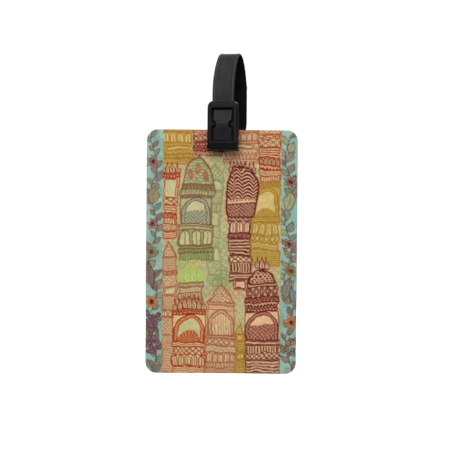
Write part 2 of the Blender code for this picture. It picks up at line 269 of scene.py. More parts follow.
def rounded(left, right, bottom, top, radius, steps=10):
    """The outline of a rectangle with round corners."""
    points = []
    for turn, (x, z) in enumerate(((right, top), (left, top), (left, bottom), (right, bottom))):
        middle_x = x - math.copysign(radius, x - (left + right) / 2)
        middle_z = z - math.copysign(radius, z - (bottom + top) / 2)
        for step in range(steps + 1):
            angle = (turn + step / steps) * math.pi / 2
            points.append((middle_x + radius * math.cos(angle), middle_z + radius * math.sin(angle)))
    return points


def skin(shape, rings, capped=False):
    """Join closed rings of vertices with faces, one ring after another."""
    for ring, following in zip(rings, rings[1:]):
        for k in range(len(ring)):
            nxt = (k + 1) % len(ring)
            shape.faces.new((ring[k], ring[nxt], following[nxt], following[k]))
    if capped:
        shape.faces.new(rings[0])
        shape.faces.new(rings[-1])


def mark(made, name, values):
    """Keep a number at each of a piece's points, for its material to read."""
    layer = made.data.attributes.new(name, "FLOAT", "POINT")
    layer.data.foreach_set("value", values)


def carve(base, steps, voxel=None, smoothing=0):
    """Join and cut shapes and, given a voxel size, remesh them so that every edge gets a soft radius."""
    work = meshed("work", base)
    tools = []
    for operation, shape in steps:
        tool = meshed("tool", shape)
        tools.append(tool)
        step = work.modifiers.new(operation, "BOOLEAN")
        step.operation = operation
        step.solver = "EXACT"
        step.object = tool
    if voxel is not None:
        remesh = work.modifiers.new("remesh", "REMESH")
        remesh.mode = "VOXEL"
        remesh.voxel_size = voxel
        relax = work.modifiers.new("relax", "SMOOTH")
        relax.factor = 0.5
        relax.iterations = smoothing
    bpy.context.view_layer.update()
    graph = bpy.context.evaluated_depsgraph_get()
    made = bmesh.new()
    made.from_mesh(work.evaluated_get(graph).to_mesh())
    for thing in [work, *tools]:
        mesh = thing.data
        bpy.data.objects.remove(thing)
        bpy.data.meshes.remove(mesh)
    return made


# ---------------------------------------------------------------- the print

CELL = 0.30
LINE = 0.50
BAND_INNER = 27.5
PRINT_BOTTOM = -114.0
WOBBLE_REACH = 3.0


def lattice_noise(x, z, size, seed):
    """Smooth noise from -1 to 1 whose features are about size millimetres across."""
    values = np.random.default_rng(seed).uniform(-1, 1, (64, 64))
    u, v = x / size + 20.0, z / size + 20.0
    column, row = np.floor(u).astype(int), np.floor(v).astype(int)
    s, t = u - column, v - row
    s, t = s * s * (3 - 2 * s), t * t * (3 - 2 * t)
    column, row, after, above = column % 64, row % 64, (column + 1) % 64, (row + 1) % 64
    low = values[row, column] * (1 - s) + values[row, after] * s
    high = values[above, column] * (1 - s) + values[above, after] * s
    return low * (1 - t) + high * t


def centred(value):
    """How far a value is from the middle of its whole step: 0 in the middle, 0.5 at the ends."""
    return np.abs(value % 1.0 - 0.5)


def bays(low, high, count):
    """The middles of some equal bays between two edges, and one bay's width."""
    step = (high - low) / count
    return [low + (k + 0.5) * step for k in range(count)], step


class Patch:
    """Some points of the print and the colours to lay on them."""

    def __init__(self, x, z, colour, chosen):
        self.x, self.z, self.colour, self.chosen = x[chosen], z[chosen], colour, chosen

    def lay(self, distance, ink, strength=1.0):
        """Cover what lies inside a shape, given each point's distance outside it."""
        cover = np.clip(0.5 - distance / CELL, 0, 1) * strength
        under = self.colour[self.chosen]
        self.colour[self.chosen] = under + cover[:, None] * (ink - under)

    def draw(self, distance, ink, width=LINE, strength=1.0):
        """Draw a shape's outline."""
        self.lay(np.abs(distance) - width / 2, ink, strength)


class Page:
    """The print's points. Drawing wobbles a little, as by hand."""

    def __init__(self, x, z):
        self.colour = np.zeros((len(x), 3))
        self.open = np.full(len(x), True)
        self.x = x.copy()
        self.z = z.copy()
        for size, reach in ((13.0, 0.8), (4.1, 0.5), (1.4, 0.24)):
            self.x += reach * lattice_noise(x, z, size, 1)
            self.z += reach * lattice_noise(x, z, size, 3)

    def part(self, left, right, bottom, top, margin=1.2):
        inside = (self.x > left - margin) & (self.x < right + margin) & self.open
        inside &= (self.z > bottom - margin) & (self.z < top + margin)
        return Patch(self.x, self.z, self.colour, np.flatnonzero(inside))


def to_box(patch, area, corner=0.0):
    left, right, bottom, top = area
    x = np.abs(patch.x - (left + right) / 2) - (right - left) / 2 + corner
    z = np.abs(patch.z - (bottom + top) / 2) - (top - bottom) / 2 + corner
    outside = np.hypot(np.maximum(x, 0), np.maximum(z, 0))
    return outside + np.minimum(np.maximum(x, z), 0) - corner


def to_oval(patch, x, z, half_width, half_height):
    reach = np.hypot((patch.x - x) / half_width, (patch.z - z) / half_height)
    return (reach - 1) * min(half_width, half_height)


def to_arch(patch, area):
    """A doorway: straight sides under a round top."""
    left, right, bottom, top = area
    half = (right - left) / 2
    rise = min(half * 1.15, (top - bottom) * 0.65)
    spring = top - rise
    middle = (left + right) / 2
    over = to_oval(patch, middle, spring, half, rise)
    under = np.maximum(np.abs(patch.x - middle) - half, bottom - patch.z)
    return np.where(patch.z > spring, over, under)


def to_spire(patch, area):
    """A roof that curves in to a point."""
    left, right, bottom, top = area
    climb = np.clip((patch.z - bottom) / (top - bottom), 0, 1)
    half = (right - left) / 2 * (1 - climb) ** 0.62
    return np.maximum(np.abs(patch.x - (left + right) / 2) - half, bottom - patch.z) * 0.8


# Patterns: how far each point is outside the inked part of an endless pattern.


def dots(patch, size):
    v = patch.z / size
    shift = np.where(np.floor(v) % 2 > 0, 0.5, 0.0)
    return (np.hypot(centred(patch.x / size + shift), centred(v)) - 0.26) * size


def netting(patch, size):
    one, other = centred((patch.x + patch.z) / size), centred((patch.x - patch.z) / size)
    return np.minimum(one, other) * size - LINE * 0.5


def scales(patch, size):
    v = patch.z / (size * 0.5)
    row = np.floor(v)
    across = ((patch.x / size + np.where(row % 2 > 0, 0.5, 0.0)) % 1.0 - 0.5) * size
    drop = (row + 1 - v) * size * 0.5
    return np.abs(np.hypot(across, drop) - size * 0.5) - LINE * 0.45


def masonry(patch, size):
    v = patch.z / (size * 0.55)
    u = patch.x / size + np.where(np.floor(v) % 2 > 0, 0.5, 0.0)
    return np.minimum(centred(u + 0.5) * size, centred(v + 0.5) * size * 0.55) - LINE * 0.35


# Courses of a tower: each fills a box with one kind of ornament.


def stripes(patch, area, ink, light, count, filled=0.45):
    left, right, bottom, top = area
    levels, step = bays(bottom, top, count)
    half = step * filled / 2
    for level in levels:
        patch.lay(to_box(patch, (left + 0.3, right - 0.3, level - half, level + half)), ink)


def pickets(patch, area, ink, light, count, filled=0.42):
    left, right, bottom, top = area
    middles, step = bays(left, right, count)
    half = step * filled / 2
    for x in middles:
        patch.lay(to_box(patch, (x - half, x + half, bottom + 0.35, top - 0.35), half * 0.9), ink)


def hoops(patch, area, ink, light, count):
    left, right, bottom, top = area
    middles, step = bays(left, right, count)
    level, half_height = (bottom + top) / 2, (top - bottom) / 2
    for x in middles:
        outer = to_oval(patch, x, level, step * 0.40, half_height * 0.84)
        patch.lay(outer, light)
        patch.draw(outer, ink)
        patch.draw(to_oval(patch, x, level, step * 0.20, half_height * 0.45), ink)


def scallops(patch, area, ink, light, count):
    left, right, bottom, top = area
    middles, step = bays(left, right, count)
    for x in middles:
        shell = to_oval(patch, x, bottom, step * 0.5, (top - bottom) * 0.92)
        shell = np.maximum(shell, bottom - patch.z)
        patch.lay(shell, light, 0.8)
        patch.draw(shell, ink)
        patch.draw(to_oval(patch, x, bottom, step * 0.24, (top - bottom) * 0.45), ink, LINE * 0.8)


def arcade(patch, area, ink, light, count):
    """A row of small arches, each with a bar down its middle."""
    left, right, bottom, top = area
    middles, step = bays(left, right, count)
    for x in middles:
        arch = to_arch(patch, (x - 0.38 * step, x + 0.38 * step, bottom + 0.3, top - 0.4))
        patch.lay(arch, light)
        patch.draw(arch, ink)
        patch.lay(to_box(patch, (x - LINE * 0.45, x + LINE * 0.45, bottom + 0.3, top - 1.0)), ink, 0.9)


def diamonds(patch, area, ink, light, count):
    left, right, bottom, top = area
    middles, step = bays(left, right, count)
    level, half, half_height = (bottom + top) / 2, step * 0.46, (top - bottom) / 2 - 0.3
    for x in middles:
        gem = np.abs(patch.x - x) / half + np.abs(patch.z - level) / half_height - 1
        gem = gem * min(half, half_height) * 0.75
        patch.lay(gem, light)
        patch.draw(gem, ink)
        patch.lay(gem + 0.85, ink)


def petals(patch, area, ink, light, count):
    """Upright leaves side by side, as on a crown."""
    left, right, bottom, top = area
    middles, step = bays(left, right, count)
    for k, x in enumerate(middles):
        tall = (top - bottom) * (0.80 + 0.20 * math.cos((k + 0.5 - count / 2) / count * math.pi * 2))
        climb = np.clip((patch.z - bottom) / tall, 0, 1)
        edge = np.abs(patch.x - x) - step * 0.98 * np.sqrt(climb * 0.8 + 0.16) * (1 - climb) ** 0.6
        edge = np.maximum(edge, bottom - patch.z) * 0.85
        patch.lay(edge, light)
        patch.draw(edge, ink)
        patch.lay(np.maximum(np.abs(patch.x - x) - LINE * 0.4, edge + 0.5), ink)


def filled(patch, area, ink, light, size, pattern=dots, strength=0.95):
    """A plate of ink with a light pattern on it."""
    plate = to_box(patch, area)
    patch.lay(plate, ink, strength)
    patch.lay(np.maximum(pattern(patch, size), plate + 0.25), light, 0.75)


def etched(patch, area, ink, light, size, pattern=dots):
    """A light plate with an inked pattern on it."""
    filled(patch, area, light, ink, size, pattern, 0.5)


def zigzag(patch, area, ink, light, count):
    left, right, bottom, top = area
    saw = centred((patch.x - left) / (right - left) * count) * 2
    gap = (patch.z - bottom - 0.3 - saw * (top - bottom - 0.9)) * 0.8
    plate = to_box(patch, area)
    patch.lay(np.maximum(gap, plate), ink)
    patch.lay(np.maximum(np.abs(gap - 0.75) - LINE * 0.4, plate), ink)


def doorway(patch, area, ink, light, shade, kind):
    """A tall opening with a double outline, and a fan, planks or a net across its lower part."""
    left, right, bottom, top = area
    outer = to_arch(patch, (left + 0.5, right - 0.5, bottom, top - 0.2))
    patch.lay(outer, shade, 0.9)
    patch.draw(outer, ink, LINE * 1.2)
    beading = to_arch(patch, (left + 1.15, right - 1.15, bottom, top - 0.9))
    patch.lay(np.maximum(np.abs(beading) - 0.28, dots(patch, 1.0)), ink, 0.9)
    opening = to_arch(patch, (left + 1.9, right - 1.9, bottom, top - 1.7))
    patch.lay(opening, light)
    patch.draw(opening, ink)
    if kind == "fan":
        middle, half = (left + right) / 2, (right - left) / 2 - 2.1
        across, climb = patch.x - middle, patch.z - bottom - 0.3
        fan = np.maximum(to_oval(patch, middle, bottom + 0.3, half, half), -climb)
        patch.lay(fan, ink, 0.9)
        ribs = centred(np.arctan2(climb, across) / math.pi * 9) * 2 - 0.42
        ribs = np.maximum(ribs * 0.8, 0.7 - np.hypot(across, climb))
        patch.lay(np.maximum(ribs, fan + 0.25), shade, 0.9)
    elif kind == "planks":
        patch.lay(np.maximum(centred(patch.x / 1.25) * 1.25 - LINE * 0.4, opening + 0.2), ink, 0.8)
        patch.lay(np.maximum(np.abs(patch.z - (bottom + top) / 2) - 0.5, opening), shade)
    else:
        lower = np.maximum(opening + 0.2, patch.z - (bottom + top) / 2)
        patch.lay(lower, shade, 0.8)
        patch.lay(np.maximum(netting(patch, 1.7), lower), ink, 0.9)


def dome(patch, area, ink, light, size, pattern, ground=True):
    """A round roof with a knob on top, its pattern light on ink or ink on light."""
    left, right, bottom, top = area
    middle, half, tall = (left + right) / 2, (right - left) / 2, (top - bottom) * 0.90
    first, second = (ink, light) if ground else (light, ink)
    shell = np.maximum(to_oval(patch, middle, bottom, half, tall), bottom - patch.z)
    patch.lay(shell, first, 0.95)
    patch.lay(np.maximum(pattern(patch, size), shell + 0.5), second, 0.9)
    patch.draw(shell, ink, LINE * 1.3)
    patch.lay(to_oval(patch, middle, top - 0.6, 0.7, 0.9), ink)


def spire(patch, area, ink, light, size, pattern):
    roof = to_spire(patch, area)
    patch.lay(roof, light, 0.8)
    patch.lay(np.maximum(pattern(patch, size), roof + 0.3), ink, 0.9)
    patch.draw(roof, ink, LINE * 1.2)


def blank(patch, area, ink, light):
    """A plain plate in a thin frame."""
    left, right, bottom, top = area
    plate = to_box(patch, (left + 0.8, right - 0.8, bottom + 0.5, top - 0.5), 0.7)
    patch.lay(plate, light)
    patch.draw(plate, ink)


def tower(page, middle, top, inks, courses, strength=0.6):
    """Courses one below another, each given by what it draws, its height, its width and its settings."""
    ink, wash, light = inks
    level = top
    for draw, height, width, *settings in courses:
        course = (middle - width / 2, middle + width / 2, level - height, level)
        patch = page.part(*course)
        walled = draw not in (dome, spire, petals)
        if walled:
            walls = to_box(patch, course, 0.35)
            patch.lay(walls, wash, strength)
        draw(patch, course, ink, light, *settings)
        if walled:
            patch.draw(walls, ink, LINE * 0.9)
        level -= height


def leaf(page, x, z, length, width, lean, ink, fill, light=None):
    """A pointed leaf with a midrib and veins; lean turns it from upright."""
    patch = page.part(x - length * 0.6, x + length * 0.6, z - length * 0.6, z + length * 0.6)
    c, s = math.cos(lean), math.sin(lean)
    along = (patch.x - x) * s + (patch.z - z) * c
    across = (patch.x - x) * c - (patch.z - z) * s
    share = np.clip(np.abs(along) / (length / 2), 0, 1)
    blade = (np.abs(across) - width / 2 * (1 - share**1.8)) * 0.85
    blade = np.maximum(blade, np.abs(along) - length / 2)
    patch.lay(blade, fill, 0.9)
    veins = centred((along - np.abs(across) * 0.9) / 1.1) * 1.1 - LINE * 0.3
    patch.lay(np.maximum(veins, blade + 0.3), ink if light is None else light, 0.55)
    patch.draw(blade, ink, LINE * 0.85, 0.8)
    patch.lay(np.maximum(np.abs(across) - LINE * 0.3, blade), ink, 0.7)


def flower(page, x, z, radius, inks, petal_count=6):
    ink, fill, heart = inks
    patch = page.part(x - radius, x + radius, z - radius, z + radius)
    turn, reach = np.arctan2(patch.z - z, patch.x - x), np.hypot(patch.x - x, patch.z - z)
    edge = reach - radius * (0.80 + 0.20 * np.cos(petal_count * turn))
    patch.lay(edge, fill, 0.95)
    ribs = centred(turn / math.pi * petal_count) * reach * math.pi / petal_count - LINE * 0.2
    patch.lay(np.maximum(ribs, edge + 0.4), ink, 0.5)
    patch.draw(edge, ink, LINE * 0.9)
    patch.draw(reach - radius * 0.50, ink, LINE * 0.7)
    patch.lay(reach - radius * 0.34, heart)


def berries(page, x, z, wide, tall, inks, seed):
    """A loose bunch of ringed berries."""
    ink, fill, heart = inks
    rng = np.random.default_rng(seed)
    for _ in range(int(wide * tall / 2.6)):
        bx, bz = x + rng.uniform(-0.5, 0.5) * wide, z + rng.uniform(-0.5, 0.5) * tall
        radius = rng.uniform(0.65, 1.15)
        patch = page.part(bx - 1.5, bx + 1.5, bz - 1.5, bz + 1.5)
        edge = to_oval(patch, bx, bz, radius, radius)
        patch.lay(edge, fill)
        patch.draw(edge, ink, LINE * 0.9)
        patch.lay(edge + radius * 0.6, heart)


TEAL, MIST, TEAL_SHADE = tint(128, 168, 156), tint(144, 173, 156), tint(110, 142, 130)
GROUND, CREAM, SAND = tint(188, 170, 124), tint(184, 176, 128), tint(194, 160, 116)
BRONZE, MUSTARD, STRAW = tint(152, 110, 22), tint(178, 146, 60), tint(196, 172, 108)
BRICK, APRICOT, PEACH = tint(148, 34, 0), tint(204, 130, 74), tint(218, 188, 134)
CLAY, SALMON, SHELL = tint(154, 86, 58), tint(194, 156, 114), tint(204, 180, 136)
MAROON, PINK = tint(100, 0, 14), tint(214, 174, 134)
BARK, UMBER = tint(116, 80, 48), tint(124, 108, 88)
FERN, SAGE, MOSS = tint(116, 150, 84), tint(160, 166, 118), tint(142, 138, 92)
LIME, SKY = tint(150, 176, 52), tint(140, 162, 140)
PLUM, HEATHER = tint(88, 46, 52), tint(148, 130, 114)

GOLD_INKS = (BRONZE, MUSTARD, STRAW)
MAROON_INKS = (MAROON, PINK, PINK)
WINE_INKS = (tint(116, 12, 18), tint(196, 144, 100), PINK)
SALMON_INKS = (CLAY, SALMON, SHELL)
ORANGE_INKS = (BRICK, PEACH, CREAM)
GREEN_INKS = (BARK, SAGE, CREAM)
FERN_INKS = (tint(128, 140, 90), SAGE, CREAM)
PLUM_INKS = (PLUM, HEATHER, MAROON)
ROSE_INKS = (PLUM, tint(168, 128, 112), MAROON)


def draw_top_row(page):
    tower(page, -20.6, 1.5, GOLD_INKS, [
        (stripes, 2.0, 13.6, 3), (arcade, 5.6, 12.8, 4), (stripes, 1.6, 13.4, 2), (blank, 2.2, 11.0),
        (zigzag, 1.8, 13.2, 8), (filled, 2.0, 13.6, 1.2), (stripes, 2.2, 13.0, 3),
    ], 0.85)
    tower(page, -6.6, 1.5, WINE_INKS, [
        (filled, 3.4, 13.4, 1.6, scales), (diamonds, 3.0, 13.8, 6), (filled, 3.0, 13.0, 1.4),
        (scallops, 2.0, 13.8, 7), (filled, 2.2, 13.2, 1.5, netting),
    ])
    tower(page, 9.2, 1.5, SALMON_INKS, [
        (scallops, 2.2, 16.2, 7), (arcade, 4.0, 15.6, 6), (stripes, 1.4, 16.2, 2), (blank, 2.6, 12.0),
        (etched, 2.8, 16.0, 2.4, masonry), (petals, 2.4, 16.2, 9), (etched, 2.0, 16.4, 1.6, scales),
    ], 0.75)
    tower(page, 22.6, 1.5, ORANGE_INKS, [
        (etched, 3.2, 10.2, 1.6, netting), (stripes, 2.0, 9.6, 3), (diamonds, 4.0, 10.2, 3),
        (stripes, 5.4, 9.4, 5, 0.55), (arcade, 3.4, 10.2, 5), (zigzag, 1.8, 9.8, 6),
        (stripes, 3.0, 10.2, 4), (pickets, 2.4, 9.6, 9),
    ])


def draw_middle_left(page):
    tower(page, -23.6, -16.4, ORANGE_INKS, [
        (petals, 3.4, 8.0, 4), (filled, 2.0, 7.4, 1.2), (blank, 9.6, 6.8), (diamonds, 3.4, 7.4, 2),
        (stripes, 4.6, 6.2, 4, 0.5), (scallops, 2.0, 7.0, 3), (pickets, 2.6, 6.0, 5),
        (etched, 3.0, 6.6, 1.5, scales), (stripes, 3.4, 6.0, 4),
    ])
    tower(page, -3.6, -17.0, FERN_INKS, [
        (spire, 6.0, 8.0, 1.8, scales), (blank, 5.0, 6.6), (stripes, 5.6, 6.0, 5, 0.25),
        (arcade, 4.0, 6.8, 3), (blank, 7.0, 6.2), (etched, 6.0, 6.6, 2.2, masonry),
        (stripes, 5.0, 6.2, 5, 0.3), (blank, 6.0, 6.6), (etched, 6.0, 6.0, 1.8, scales),
        (stripes, 4.0, 6.4, 4),
    ], 0.4)
    tower(page, -11.6, -12.0, (BARK, SAGE, SAGE), [(dome, 13.6, 13.6, 2.4, masonry, False)])
    tower(page, -11.6, -25.4, GREEN_INKS, [
        (scallops, 2.6, 14.6, 8), (pickets, 2.4, 15.6, 12, 0.3), (stripes, 1.0, 14.6, 1),
        (doorway, 12.6, 14.0, SKY, "net"), (stripes, 1.4, 16.2, 2), (etched, 1.6, 15.6, 1.2),
    ])
    tower(page, -11.6, -47.0, (BARK, FERN, CREAM), [
        (arcade, 7.4, 16.2, 3), (stripes, 1.6, 15.0, 2), (zigzag, 2.0, 16.4, 11),
        (pickets, 3.0, 15.4, 13, 0.3),
    ], 0.8)
    for x, z, fill in ((-15.2, -21.0, SALMON), (-11.7, -18.4, STRAW), (-8.2, -21.2, FERN)):
        patch = page.part(x - 2, x + 2, z - 3, z + 3)
        patch.lay(to_oval(patch, x, z, 1.1, 2.0), fill)
        patch.draw(to_oval(patch, x, z, 1.1, 2.0), CLAY)
        patch.draw(to_oval(patch, x, z, 0.5, 1.1), CLAY)


def draw_middle_right(page):
    tower(page, 20.6, -24.2, GOLD_INKS, [
        (scallops, 2.4, 13.4, 7), (doorway, 14.0, 13.0, MUSTARD, "fan"), (stripes, 2.4, 13.8, 3),
        (arcade, 6.4, 12.8, 4), (diamonds, 3.4, 13.8, 6), (etched, 3.0, 13.0, 2.2, masonry),
        (stripes, 7.6, 13.8, 7, 0.3),
    ], 0.85)
    tower(page, 8.6, -40.2, MAROON_INKS, [
        (filled, 2.2, 10.6, 1.7, scales), (arcade, 6.2, 9.8, 3), (scallops, 2.2, 10.8, 5),
        (stripes, 8.4, 9.6, 6, 0.62), (diamonds, 3.0, 10.8, 4), (pickets, 4.2, 9.8, 8, 0.6),
        (stripes, 3.6, 10.4, 3, 0.5), (blank, 3.4, 6.4),
    ], 0.7)
    tower(page, 9.3, -16.0, MAROON_INKS, [(petals, 4.0, 12.6, 7)])
    crown = page.part(0.8, 18.0, -46, -17)
    bulge = 7.6 - 0.0042 * np.abs(crown.z + 27.0) ** 2.6 * np.where(crown.z > -27, 3.2, 0.55)
    shell = np.maximum(np.abs(crown.x - 9.2) - bulge, np.maximum(-40.4 - crown.z, crown.z + 17.6)) * 0.9
    crown.lay(shell, MAROON)
    festoon = crown.z + 22.2 - 1.7 * np.abs(np.sin((crown.x - 9.3) / 5.0 * math.pi))
    bands = centred(festoon / 1.6) * 1.6 - 0.27
    crown.lay(np.maximum(np.maximum(bands, shell + 0.5), -31.4 - crown.z), PINK, 0.95)
    belt = np.maximum(np.abs(crown.z + 32.6) - 0.9, shell + 0.4)
    crown.lay(belt, PINK)
    crown.lay(np.maximum(np.maximum(dots(crown, 1.5), belt), shell), MAROON)
    crown.lay(np.maximum(np.maximum(scales(crown, 1.7), shell + 0.5), crown.z + 34.0), PINK, 0.55)
    crown.draw(shell, MAROON, LINE * 1.5)


def draw_bottom_row(page):
    tower(page, -24.0, -53.0, SALMON_INKS, [
        (spire, 6.0, 6.0, 1.8, masonry), (stripes, 6.0, 6.4, 7, 0.3), (scallops, 1.8, 6.6, 3),
        (etched, 6.0, 6.0, 2.0, masonry), (blank, 4.0, 6.2), (stripes, 7.0, 6.4, 8, 0.3),
        (arcade, 3.6, 6.4, 2), (etched, 8.0, 6.2, 1.8, scales), (stripes, 18.0, 6.4, 17, 0.3),
    ])
    tower(page, -8.6, -64.0, (SAGE, CREAM, CREAM), [(blank, 9.0, 3.0), (blank, 9.0, 2.6)], 0.5)
    tower(page, -14.4, -62.0, (LIME, STRAW, tint(170, 178, 120)), [(petals, 9.4, 11.4, 4)])
    tower(page, -14.4, -71.4, (BARK, tint(186, 140, 118), CREAM), [
        (stripes, 2.2, 11.6, 2, 0.3), (etched, 2.6, 10.6, 1.2), (pickets, 2.8, 11.2, 11, 0.35),
        (stripes, 3.0, 10.4, 3),
    ])
    tower(page, -0.8, -66.0, FERN_INKS, [(stripes, 3.0, 5.6, 3, 0.3), (arcade, 3.6, 6.0, 3)], 0.4)
    tower(page, -14.9, -79.0, ORANGE_INKS, [
        (petals, 4.6, 15.2, 7), (filled, 2.4, 14.6, 1.3), (doorway, 13.0, 14.6, APRICOT, "fan"),
        (stripes, 2.2, 15.6, 3), (diamonds, 3.4, 15.0, 6), (arcade, 5.2, 15.8, 5),
        (stripes, 4.0, 15.0, 4),
    ], 0.75)
    tower(page, -0.2, -72.5, SALMON_INKS, [
        (spire, 7.0, 11.0, 1.8, scales), (zigzag, 1.8, 12.6, 9), (etched, 2.0, 12.0, 1.2),
        (doorway, 12.0, 12.8, SALMON, "planks"), (stripes, 1.6, 13.8, 2), (diamonds, 3.2, 13.0, 5),
        (etched, 3.0, 13.8, 2.2, masonry), (arcade, 4.6, 13.0, 5), (pickets, 2.4, 13.8, 12),
        (stripes, 3.4, 13.2, 4),
    ], 0.7)
    tower(page, 8.9, -91.0, GOLD_INKS, [
        (spire, 3.4, 4.0, 1.6, masonry), (diamonds, 3.4, 3.8, 1), (stripes, 4.6, 3.6, 5),
        (arcade, 3.6, 3.8, 1), (stripes, 8.0, 3.6, 8),
    ], 0.85)
    tower(page, 19.0, -60.6, MAROON_INKS, [
        (petals, 4.2, 6.6, 3), (dome, 6.6, 13.0, 2.0, scales), (stripes, 1.4, 14.2, 2),
        (hoops, 4.6, 15.2, 5), (scallops, 2.4, 16.2, 8), (zigzag, 1.8, 15.4, 10),
        (filled, 2.6, 14.4, 1.4), (doorway, 13.4, 15.0, tint(172, 112, 92), "net"),
        (stripes, 2.2, 16.4, 2), (pickets, 3.2, 15.4, 12, 0.5), (diamonds, 3.0, 16.4, 7),
        (stripes, 7.0, 15.4, 5, 0.5),
    ], 0.7)


def draw_band(page, side):
    """A teal border with a winding stem, leaves, flowers and berries."""
    rng = np.random.default_rng(20 if side < 0 else 21)
    edges = sorted((side * 37.0, side * BAND_INNER))
    patch = page.part(*edges, PRINT_BOTTOM, 2.0, WOBBLE_REACH)
    patch.lay(np.full(len(patch.x), -1.0), TEAL)
    patch.lay(-lattice_noise(patch.x, patch.z, 5.0, 9), MIST, 0.8)
    patch.lay(0.2 - lattice_noise(patch.x, patch.z, 3.0, 10), TEAL_SHADE, 0.5)

    def stem_at(level):
        return side * 31.4 + 1.6 * np.sin(level / 4.6 + side)

    patch.draw(patch.x - stem_at(patch.z), PLUM, LINE, 0.8)
    fills = (HEATHER, MOSS, UMBER, TEAL_SHADE, SAGE, HEATHER)
    level = -1.5
    turn = 1
    while level > -112.0:
        tall = rng.uniform(3.4, 6.2)
        lean = turn * rng.uniform(0.35, 1.0)
        fill = fills[rng.integers(len(fills))]
        x = stem_at(level) + turn * tall * 0.34
        leaf(page, x, level, tall, tall * rng.uniform(0.38, 0.6), lean, PLUM, fill)
        level -= rng.uniform(1.9, 3.3)
        turn = -turn
    for level, radius, inks, count in (
        (-15.0, 3.4, PLUM_INKS, 7), (-44.0, 2.6, ROSE_INKS, 6), (-56.5, 2.9, (BARK, MOSS, PLUM), 8),
        (-80.0, 3.1, (CLAY, tint(168, 124, 70), MAROON), 6),
    ):
        shift = level + (0.0 if side < 0 else -9.0)
        flower(page, side * 32.0, shift, radius, inks, count)
    if side < 0:
        leaf(page, -31.4, -30.5, 9.0, 5.4, 0.25, PLUM, MOSS)
        leaf(page, -32.6, -67.5, 12.0, 4.6, -0.10, MAROON, tint(112, 70, 74), MIST)
        berries(page, -31.6, -95.0, 6.4, 20.0, (PLUM, tint(138, 116, 124), PLUM), 40)
    else:
        leaf(page, 31.6, -33.0, 9.4, 5.0, 0.10, PLUM, SAGE)
        leaf(page, 30.6, -74.0, 11.0, 3.4, 0.20, PLUM, tint(128, 134, 122))
        leaf(page, 33.2, -77.0, 10.0, 3.0, -0.25, PLUM, TEAL_SHADE)
        berries(page, 31.8, -100.5, 5.0, 9.0, (PLUM, SAGE, MAROON), 41)


def print_colours(x, z):
    """The print's colour at each point, in millimetres from the middle of the tag's top edge."""
    page = Page(x, z)
    for side in (-1, 1):
        page.open = side * x > BAND_INNER
        draw_band(page, side)
    page.open = np.abs(x) <= BAND_INNER
    ground = page.part(-BAND_INNER, BAND_INNER, PRINT_BOTTOM, 2.0, WOBBLE_REACH)
    ground.lay(np.full(len(ground.x), -1.0), GROUND)
    ground.lay(0.1 - lattice_noise(ground.x, ground.z, 9.0, 12), CREAM, 0.7)
    ground.lay(0.3 - lattice_noise(ground.x, ground.z, 7.0, 13), SAND, 0.6)
    ground.lay(0.25 - lattice_noise(ground.x, ground.z, 6.0, 14), SAGE, 0.6)
    ground.lay(0.35 - lattice_noise(ground.x, ground.z, 5.0, 15), SALMON, 0.5)
    ground.lay(scales(ground, 3.4), BARK, 0.35)
    draw_top_row(page)
    draw_middle_left(page)
    draw_middle_right(page)
    draw_bottom_row(page)
    speckle = 0.10 * lattice_noise(x, z, 0.55, 30) + 0.08 * lattice_noise(x, z, 1.3, 31)
    shade = 1.0 + speckle + 0.06 * lattice_noise(x, z, 12.0, 32)
    swirl = 1.6 * lattice_noise(x, z, 4.6, 33) + 0.5 * lattice_noise(x, z, 1.7, 34)
    pen = np.clip(1.0 - np.abs(centred(swirl * 1.5) - 0.25) / 0.055, 0, 1)
    shade *= 1.0 - 0.20 * pen
    return np.clip(page.colour * shade[:, None], 0.0, 1.0)


# ---------------------------------------------------------------- the printed panel


def panel_rows():
    """Heights below the top edge, in millimetres, closer together round the corners."""
    upper = TAG_CORNER * (1 - np.cos(np.linspace(0, math.pi / 2, 15)))
    straight = TAG_HEIGHT - 2 * TAG_CORNER
    level = np.linspace(TAG_CORNER, TAG_CORNER + straight, int(straight / CELL))
    return np.concatenate([upper, level[1:-1], TAG_HEIGHT - upper[::-1]])


def half_width_at(depth):
    """Half the panel's width at a depth below its top edge, in millimetres."""
    near = np.minimum(depth, TAG_HEIGHT - depth)
    rise = np.clip(TAG_CORNER - near, 0, TAG_CORNER)
    return TAG_WIDTH / 2 - TAG_CORNER + np.sqrt(TAG_CORNER**2 - rise**2)


